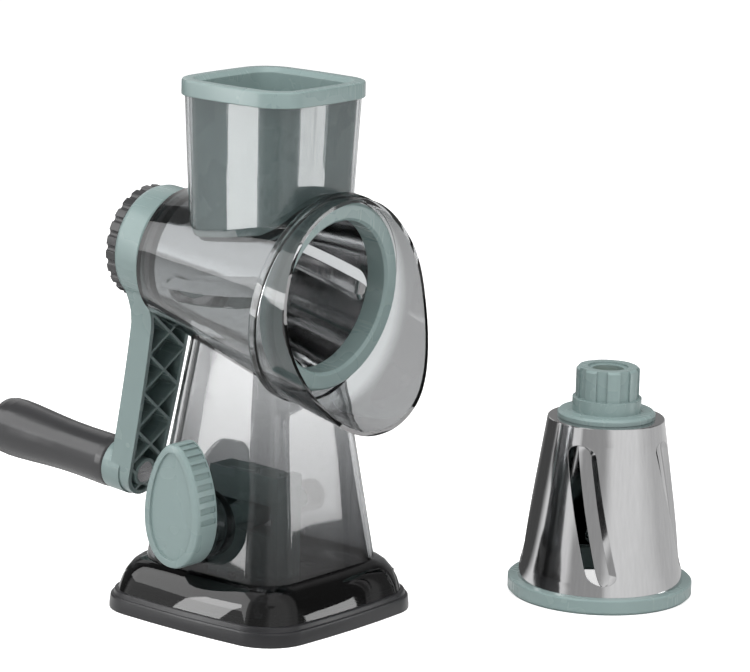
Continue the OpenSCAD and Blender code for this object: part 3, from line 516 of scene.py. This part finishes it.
def cone_radius(height):
    return CONE_FRONT + (CONE_BACK - CONE_FRONT) * (height - RING_TOP) / (CONE_END - RING_TOP)


def sector_heights(drum):
    """Heights of the sector's rows, closer together at the slot's round ends."""
    ends = [SLOT_FROM + SLOT_ENDS * share for share in END_ROWS]
    far_ends = [SLOT_FROM + SLOT_TO - height for height in reversed(ends)]
    middle = [ends[-1] + (far_ends[0] - ends[-1]) * k / MIDDLE_STEPS for k in range(1, MIDDLE_STEPS)]
    return [RING_TOP, (RING_TOP + SLOT_FROM) / 2, *ends, *middle, *far_ends,
            (SLOT_TO + CONE_END) / 2, CONE_END - drum.wall / 2]


def sector_row(drum, height):
    """Points across the sector at a height: plain cone, opening, pressed-in ramp and plain cone."""
    radius = cone_radius(height)
    sector = math.pi / drum.slots
    run = min(1.0, max(0.0, min(height - SLOT_FROM, SLOT_TO - height)) / SLOT_ENDS)
    width = max(0.1, math.sqrt(1 - (1 - run) ** 2))
    depth = drum.slot_depth * (run * (2 - run))
    along = min(max(height, SLOT_FROM), SLOT_TO)
    centre = -drum.slot_twist * ((along - SLOT_FROM) / (SLOT_TO - SLOT_FROM) - 0.5)
    half = drum.slot_width / 2
    edge, lip, foot = half * width, (drum.slot_gap - half) * width, (half - RAMP_FOOT * drum.slot_depth) * width
    ramp = [lip + (foot - lip) * k / RAMP_STRIPS for k in range(RAMP_STRIPS + 1)]
    offsets = [-edge, *ramp, foot + (edge - foot) / 2, edge]
    depths = [0.0, *[depth] * len(ramp), depth / 2, 0.0]
    slot = [centre + x / radius for x in offsets]
    left = [-sector + (slot[0] + sector) * k / SIDE_STRIPS for k in range(SIDE_STRIPS)]
    right = [sector - (sector - slot[-1]) * k / SIDE_STRIPS for k in reversed(range(SIDE_STRIPS))]
    radii = [radius] * SIDE_STRIPS + [radius - d for d in depths] + [radius] * SIDE_STRIPS
    return [(r * math.cos(a), r * math.sin(a), height) for r, a in zip(radii, left + slot + right)]


def cone_sector(drum):
    """One slot's share of the cone, and of the turned-in end that the hub holds."""
    rows = [sector_row(drum, height) for height in sector_heights(drum)]
    angles = [math.atan2(y, x) for x, y, _ in rows[-1]]
    for radius, height in ((CONE_BACK - drum.wall / 4, CONE_END - drum.wall / 8),
                           (CONE_BACK - drum.wall, CONE_END), (HUB_HOLE, CONE_END)):
        rows.append([(radius * math.cos(a), radius * math.sin(a), height) for a in angles])
    mesh = bpy.data.meshes.new("cone_sector")
    work = bmesh.new()
    grid = [[work.verts.new(point) for point in row] for row in rows]
    heights = [row[0][2] for row in rows]
    for low, high, below, above in zip(grid, grid[1:], heights, heights[1:]):
        pierced = below >= SLOT_FROM and above <= SLOT_TO
        for k in range(len(low) - 1):
            if pierced and k == SIDE_STRIPS:
                continue
            work.faces.new((low[k], low[k + 1], high[k + 1], high[k]))
    work.to_mesh(mesh)
    work.free()
    return mesh


class SHREDDER_OT_slicing_cones(bpy.types.Operator):
    """Make both slotted steel cones from one repeated sector"""

    bl_idname = "shredder.slicing_cones"
    bl_label = "Slicing cones"

    def execute(self, context):
        drum = context.scene.shredder_drum
        names = ("slicing_cone", "second_slicing_cone")
        for node, name, place in zip(("drum_cone", "spare_cone"), names, drum_places()):
            whole = repeated(cone_sector(drum), drum.slots, 0.01 * MM, MATERIALS["polished_steel"])
            skin = placed(name + "_skin", whole)
            wall = skin.modifiers.new("wall", "SOLIDIFY")
            wall.thickness = drum.wall
            wall.offset = -1
            wall.use_even_offset = False
            finished = converted(skin)
            finished.transform(place)
            shade_smooth(finished, 14)
            finish_piece(name, finished, node)
        return {"FINISHED"}


# Threaded insert in the drawn drum: heights, radii, bevel outside, and the thread with its steps to a turn
INSERT_LOW, INSERT_TOP, INSERT_RADIUS, INSERT_BEVEL = 88 * MM, 103 * MM, 6.98 * MM, 0.3 * MM
BORE_RADIUS, BORE_CHAMFER, THREAD_DEPTH, THREAD_STEPS = 4.1 * MM, 0.7 * MM, 0.6 * MM, 8


def insert_mesh(name, drum):
    """A sleeve with a bevelled outside and a threaded bore."""
    segments = 48
    low, high = INSERT_LOW, INSERT_TOP - drum.insert_drop
    bevelled = INSERT_RADIUS - INSERT_BEVEL
    rings = [(bevelled, low), (INSERT_RADIUS, low + INSERT_BEVEL), (INSERT_RADIUS, high - INSERT_BEVEL),
             (bevelled, high), (BORE_RADIUS + BORE_CHAMFER, high)]
    length = high - low - 2 * BORE_CHAMFER
    steps = round(length / drum.thread_pitch * THREAD_STEPS)
    for k in range(steps + 1):
        height = high - BORE_CHAMFER - length * k / steps
        fade = min(1.0, k / THREAD_STEPS, (steps - k) / THREAD_STEPS)
        turns = [(height / drum.thread_pitch - n / segments) % 1 for n in range(segments)]
        rings.append(([BORE_RADIUS + THREAD_DEPTH * fade * (1 - abs(2 * turn - 1)) for turn in turns], height))
    rings.append((BORE_RADIUS + BORE_CHAMFER, low))
    return ringed_mesh(name, rings, segments)


class SHREDDER_OT_threaded_inserts(bpy.types.Operator):
    """Make the threaded inserts in the hubs"""

    bl_idname = "shredder.threaded_inserts"
    bl_label = "Threaded inserts"

    def execute(self, context):
        names = ("threaded_insert", "second_threaded_insert")
        for node, name, place in zip(("hub_insert", "spare_insert"), names, drum_places()):
            mesh = insert_mesh(name, context.scene.shredder_drum)
            mesh.transform(place)
            shade_smooth(mesh, 40)
            finish_piece(name, mesh, node)
        return {"FINISHED"}


# Screws: head and shaft, how far a base screw stands from the middle along both axes, and the cross recess
# as shares of the head's radius and half the angle of a wing
HEAD_RADIUS, HEAD_HEIGHT, SHAFT_RADIUS, BASE_SCREW_PLACE = 3.2 * MM, 2 * MM, 1.5 * MM, 39 * MM
WING_REACH, CROSS_CORE, CROSS_TAPER, WING_ANGLE = 0.62, 0.24, 0.72, math.radians(12)


def screw_mesh(length):
    """A screw that points up: rounded head below with a cross recess, and a blunt pointed shaft."""
    segments = 48
    wings = []
    for k in range(segments):
        off_axis = abs((math.tau * k / segments + math.pi / 4) % (math.pi / 2) - math.pi / 4)
        wings.append(HEAD_RADIUS * (WING_REACH if off_axis < WING_ANGLE else CROSS_CORE))
    floor = [CROSS_TAPER * reach for reach in wings]
    edge = 0.25 * HEAD_HEIGHT
    rings = [(0, 0.55 * HEAD_HEIGHT), (floor, 0.5 * HEAD_HEIGHT), (wings, 0.03 * HEAD_HEIGHT),
             (0.78 * HEAD_RADIUS, 0.0), (HEAD_RADIUS - edge / 3, edge / 3), (HEAD_RADIUS, edge),
             (HEAD_RADIUS, HEAD_HEIGHT), (SHAFT_RADIUS, HEAD_HEIGHT), (SHAFT_RADIUS, length - SHAFT_RADIUS),
             (0.35 * SHAFT_RADIUS, length - 0.1 * MM), (0, length)]
    return ringed_mesh("screw", rings, segments)


class SHREDDER_OT_screws(bpy.types.Operator):
    """Make the screws under the base and in the lift tower"""

    bl_idname = "shredder.screws"
    bl_label = "Screws"

    def execute(self, context):
        low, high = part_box("base_screws")
        screw = screw_mesh(high[2] - low[2])
        screw.transform(Matrix.Translation((BASE_SCREW_PLACE, BASE_SCREW_PLACE, low[2])))
        four = repeated(screw, 4, 0, MATERIALS["steel"])
        shade_smooth(four, 35)
        finish_piece("base_screw_set", four, "base_screws")
        low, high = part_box("pad_screws")
        screw = screw_mesh(high[2] - low[2])
        screw.transform(Matrix.Rotation(math.pi, 4, "X"))
        screw.transform(Matrix.Translation((high[0] - HEAD_RADIUS, 0, high[2])))
        pair = repeated(screw, 2, 0, MATERIALS["steel"])
        pair.transform(Matrix.Translation((0, (low[1] + high[1]) / 2, 0)))
        shade_smooth(pair, 35)
        finish_piece("pad_screw_pair", pair, "pad_screws")
        return {"FINISHED"}


# Suction pad in millimetres, as (radius, height): its size, the rings underneath, and the lip and top
PAD_RADIUS, PAD_HEIGHT = 46.6, 8.8
PAD_RINGS, RING_PROFILE = (18, 24, 30), ((-1.4, 1.75), (-0.7, 1.35), (0.7, 1.3), (1.4, 1.6))
PAD_RIM = (
    (34, 1.3), (38.4, 0.35), (39.3, 0.05), (41, 0), (42.2, 0.5), (43.4, 0.5), (44.4, 0.02), (46.1, 0),
    (PAD_RADIUS, 0.35), (PAD_RADIUS, 1.3), (45.8, 2.2), (44.5, 2.9), (41, 2.95), (37.6, 3.2), (35.8, 4.6),
    (34.4, 7.4), (33.4, 8.5), (32.2, PAD_HEIGHT), (0, PAD_HEIGHT))


class SHREDDER_OT_suction_pad(bpy.types.Operator):
    """Make the rubber suction pad with its lip and rings"""

    bl_idname = "shredder.suction_pad"
    bl_label = "Suction pad"

    def execute(self, context):
        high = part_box("suction_pad")[1]
        wide, tall = high[0] / PAD_RADIUS, high[2] / PAD_HEIGHT
        underside = [(ring + off, height) for ring in PAD_RINGS for off, height in RING_PROFILE]
        profile = [(0, 2.1), (12, 2.0), *underside, *PAD_RIM]
        mesh = ringed_mesh("rubber_pad", [(r * wide, z * tall) for r, z in profile], 128)
        shade_smooth(mesh, 40)
        finish_piece("rubber_pad", mesh, "suction_pad")
        return {"FINISHED"}


def smoothed(node, name):
    """A copy of a carried-over node, merged and shaded smooth, that stands for it."""
    mesh = NODES[node].data.copy()
    mesh.name = name
    if mesh.has_custom_normals:
        mesh.attributes.remove(mesh.attributes["custom_normal"])
    shade_smooth(mesh, 28, merge=0.002 * MM)
    source = placed(name + "_source", mesh)
    weighted = source.modifiers.new("normals", "WEIGHTED_NORMAL")
    weighted.keep_sharp = True
    weighted.weight = 50
    finished = converted(source)
    finished.materials.clear()
    finish_piece(name, finished, node)


# Studio

# What metal and gloss see in place of the room, and of the floor round the second drum: position round the
# upright, from -X by -Y, and level
WALLS = ((0.0, 0.38), (0.1, 0.4), (0.14, 0.88), (0.27, 0.88), (0.31, 0.65), (0.35, 0.6), (0.37, 0.12),
         (0.44, 0.12), (0.5, 0.3), (0.56, 0.25), (0.65, 0.25), (0.69, 0.1), (0.79, 0.1), (0.82, 0.9),
         (0.96, 0.85), (0.985, 0.38), (1.0, 0.38))
SWEEP = ((0.0, 0.38), (0.1, 0.4), (0.14, 0.88), (0.3, 0.8), (0.36, 0.6), (0.46, 0.6), (0.5, 0.7), (0.61, 0.7),
         (0.63, 0.25), (0.67, 0.2), (0.7, 0.08), (0.79, 0.08), (0.82, 0.9), (0.96, 0.85), (0.985, 0.38),
         (1.0, 0.38))
# Radii about the second drum between which the floor's painted shadow, seen only by mirrored rays, fades from
# dark to the floor's level
PAINTED_SHADOW_WITHIN, PAINTED_SHADOW_FADES_BY = 40 * MM, 46 * MM
# The floor's tone, its glow where it is seen, and the room's level for matt surfaces
FLOOR_LEVEL, FLOOR_GLOW, SOFT_LEVEL = 0.8, 0.72, 0.3

# Softboxes: azimuth and height of the middle, distance, width, height, radiance, and whether matt and glossy
# surfaces are lit by them
SOFTBOXES = (
    ("key", -100, 0.75, 1.3, 0.9, 0.9, 2.5, True, False),
    ("fill", -5, 0.6, 1.4, 0.7, 0.9, 2.7, True, False),
    ("top", -60, 1.5, 0.3, 1.2, 1.2, 3.9, True, False),
    ("rim", 150, 0.7, 1.3, 0.8, 0.8, 0.5, True, True),
    ("left strip", -124.3, 0.15, 0.615, 0.098, 0.3, 7.0, False, True),
    ("right strip", 42.3, 0.065, 0.61, 0.11, 0.13, 5.0, False, True),
    ("left hood", -135, 0.475, 0.6, 0.7, 0.55, 2.1, False, True),
)


def ray_kinds(tree):
    """The light path's outputs, a mask of the rays that show the scene, and one of the mirrored rays."""
    path = add(tree, "LightPath").outputs
    seen = math_node(tree, "MAXIMUM", path["Is Camera Ray"], path["Is Transmission Ray"])
    mirrored = math_node(tree, "MULTIPLY", path["Is Glossy Ray"], math_node(tree, "SUBTRACT", 1.0, seen))
    return path, seen, mirrored


def levels_round(tree, place, stops):
    """Level round the upright, by (position, level) stops."""
    gradient = add(tree, "TexGradient", gradient_type="RADIAL")
    feed(tree, place, gradient.inputs[0])
    levels = add(tree, "ValToRGB")
    ramp = levels.color_ramp
    ramp.elements[0].position, ramp.elements[1].position = stops[0][0], stops[-1][0]
    for position, _ in stops[1:-1]:
        ramp.elements.new(position)
    for element, (_, level) in zip(ramp.elements, stops):
        element.color = (level, level, level, 1)
    feed(tree, gradient.outputs[1], levels.inputs[0])
    return levels.outputs[0]


class SHREDDER_OT_stage(bpy.types.Operator):
    """Build the camera, the floor, the lamps and the pale surroundings"""

    bl_idname = "shredder.stage"
    bl_label = "Studio"

    def execute(self, context):
        studio = context.scene.shredder_studio
        self.camera(context.scene, studio)
        self.floor(studio.floor_size)
        self.surroundings(context.scene)
        self.lamps(studio)
        context.scene.view_settings.view_transform = "Standard"
        return {"FINISHED"}

    def camera(self, scene, studio):
        azimuth, elevation, roll = studio.azimuth, studio.elevation, studio.roll
        back = Vector((math.sin(azimuth) * math.cos(elevation), -math.cos(azimuth) * math.cos(elevation),
                       math.sin(elevation)))
        level = Vector((math.cos(azimuth), math.sin(azimuth), 0))
        upright = back.cross(level)
        right = math.cos(roll) * level + math.sin(roll) * upright
        up = math.cos(roll) * upright - math.sin(roll) * level
        data = bpy.data.cameras.new("camera")
        data.sensor_width = 36
        data.lens = studio.lens
        data.clip_end = 50
        camera = placed("camera", data)
        turn = Matrix((right, up, back)).transposed().to_4x4()
        camera.matrix_world = Matrix.Translation(Vector(studio.target) + back * studio.distance) @ turn
        scene.camera = camera

    def floor(self, size):
        """A pale floor that glows where it is seen, with levels of its own for mirrored rays, and a painted
        shadow round the second drum that only mirrored rays see.
        """
        mesh = bpy.data.meshes.new("floor")
        half = size / 2
        corners = [(-half, -half, 0), (half, -half, 0), (half, half, 0), (-half, half, 0)]
        mesh.from_pydata(corners, [], [(0, 1, 2, 3)])
        floor = placed("floor", mesh)
        material, shader = new_material("studio floor")
        tree = material.node_tree
        give(tree, shader, Base_Color=(FLOOR_LEVEL, FLOOR_LEVEL, FLOOR_LEVEL, 1), Roughness=0.8,
             Specular_IOR_Level=0.1)
        both = add(tree, "AddShader")
        feed(tree, shader.outputs[0], both.inputs[0])
        feed(tree, give(tree, add(tree, "Emission"), Strength=FLOOR_GLOW).outputs[0], both.inputs[1])
        _, seen, mirrored = ray_kinds(tree)
        plain = mix_shader(tree, seen, shader.outputs[0], both.outputs[0])
        about = mapped(tree, object_place(tree), Location=(-SPARE_PLACE[0], -SPARE_PLACE[1], 0))
        reach = add(tree, "VectorMath", operation="LENGTH")
        feed(tree, about, reach.inputs[0])
        # Painted shadow of the second drum on the floor, seen only by mirrored rays: dark within the inner
        # radius, fading to the floor's level at the outer one
        outside = spread(tree, reach.outputs["Value"], PAINTED_SHADOW_WITHIN, PAINTED_SHADOW_FADES_BY)
        level = math_node(tree, "MULTIPLY", levels_round(tree, about, SWEEP), outside)
        sweep = give(tree, add(tree, "Emission"), Strength=level)
        surface = mix_shader(tree, mirrored, plain, sweep.outputs[0])
        feed(tree, surface, tree.nodes["Material Output"].inputs["Surface"])
        mesh.materials.append(material)

    def surroundings(self, scene):
        """White where the camera looks, dimmer overhead through clear walls, and levels for mirrored rays."""
        world = bpy.data.worlds.new("studio")
        scene.world = world
        world.use_nodes = True
        tree = world.node_tree
        place = add(tree, "TexCoord").outputs["Generated"]
        path, seen, mirrored = ray_kinds(tree)
        soft = math_node(tree, "SUBTRACT", 1.0, math_node(tree, "ADD", seen, mirrored))
        split = give(tree, add(tree, "SeparateXYZ"), Vector=place)
        overhead = spread(tree, split.outputs["Z"], 0.12, 0.32, 1.0, 0.15)
        through = math_node(tree, "MULTIPLY", path["Is Transmission Ray"], overhead)
        white = math_node(tree, "MAXIMUM", path["Is Camera Ray"], through)
        dimmed = math_node(tree, "ADD", math_node(tree, "MULTIPLY", mirrored, levels_round(tree, place, WALLS)),
                           math_node(tree, "MULTIPLY", soft, SOFT_LEVEL))
        give(tree, tree.nodes["Background"], Color=(1, 1, 1, 1), Strength=math_node(tree, "ADD", white, dimmed))

    def lamps(self, studio):
        middle = Vector(studio.target)
        for name, azimuth, height, distance, width, tall, radiance, matt, gloss in SOFTBOXES:
            data = bpy.data.lights.new(name, "AREA")
            data.shape = "RECTANGLE"
            data.size, data.size_y = width, tall
            data.energy = radiance * math.pi * width * tall
            lamp = placed(name, data)
            angle = math.radians(azimuth)
            place = Vector((math.sin(angle) * distance, -math.cos(angle) * distance, height))
            aim = Vector((place.x - middle.x, place.y - middle.y, (height - middle.z) if matt else 0))
            lamp.matrix_world = Matrix.Translation(place) @ aim.to_track_quat("Z", "Y").to_matrix().to_4x4()
            lamp.visible_camera = False
            lamp.visible_diffuse = matt
            lamp.visible_glossy = gloss


class SHREDDER_OT_strip_limits(bpy.types.Operator):
    """Keep the right strip light off the second drum, which was lit by itself"""

    bl_idname = "shredder.strip_limits"
    bl_label = "Strip light limits"

    def execute(self, context):
        kept_off = bpy.data.collections.new("kept off the strip light")
        kept_off.objects.link(bpy.data.objects["second_slicing_cone"])
        for item in kept_off.collection_objects:
            item.light_linking.link_state = "EXCLUDE"
        bpy.data.objects["right strip"].light_linking.receiver_collection = kept_off
        return {"FINISHED"}


class SHREDDER_OT_carried_nodes(bpy.types.Operator):
    """Give each carried-over piece the material of its slot"""

    bl_idname = "shredder.carried_nodes"
    bl_label = "Carried-over pieces"

    def execute(self, context):
        for node in NODES:
            if node in SMOOTHED:
                smoothed(node, SMOOTHED[node])
            elif node not in MADE:
                dress(node, MATERIALS[SLOT_OF[node]])
        return {"FINISHED"}


class SHREDDER_OT_materials(bpy.types.Operator):
    """Build the node groups and the materials"""

    bl_idname = "shredder.materials"
    bl_label = "Materials"

    def execute(self, context):
        build_materials()
        return {"FINISHED"}


class SHREDDER_PT_panel(bpy.types.Panel):
    bl_idname = "SHREDDER_PT_panel"
    bl_label = "Rotary Shredder"
    bl_space_type = "VIEW_3D"
    bl_region_type = "UI"
    bl_category = "Shredder"

    def draw(self, context):
        scene = context.scene
        for group in (scene.shredder_colours, scene.shredder_drum, scene.shredder_studio):
            column = self.layout.column()
            for key in group.__annotations__:
                column.prop(group, key)
        for operator in STEPS:
            self.layout.operator(operator.bl_idname)


GROUP_CLASSES = (ShredderColours, ShredderDrum, ShredderStudio)
STEPS = (SHREDDER_OT_stage, SHREDDER_OT_materials, SHREDDER_OT_slicing_cones, SHREDDER_OT_threaded_inserts,
         SHREDDER_OT_screws, SHREDDER_OT_suction_pad, SHREDDER_OT_carried_nodes, SHREDDER_OT_strip_limits)
CLASSES = GROUP_CLASSES + STEPS + (SHREDDER_PT_panel,)


def register():
    for cls in CLASSES:
        bpy.utils.register_class(cls)
    bpy.types.Scene.shredder_colours = PointerProperty(type=ShredderColours)
    bpy.types.Scene.shredder_drum = PointerProperty(type=ShredderDrum)
    bpy.types.Scene.shredder_studio = PointerProperty(type=ShredderStudio)


def unregister():
    del bpy.types.Scene.shredder_studio
    del bpy.types.Scene.shredder_drum
    del bpy.types.Scene.shredder_colours
    for cls in reversed(CLASSES):
        bpy.utils.unregister_class(cls)


def main():
    register()
    for operator in STEPS:
        group, name = operator.bl_idname.split(".")
        getattr(getattr(bpy.ops, group), name)()


if __name__ == "__main__":
    main()
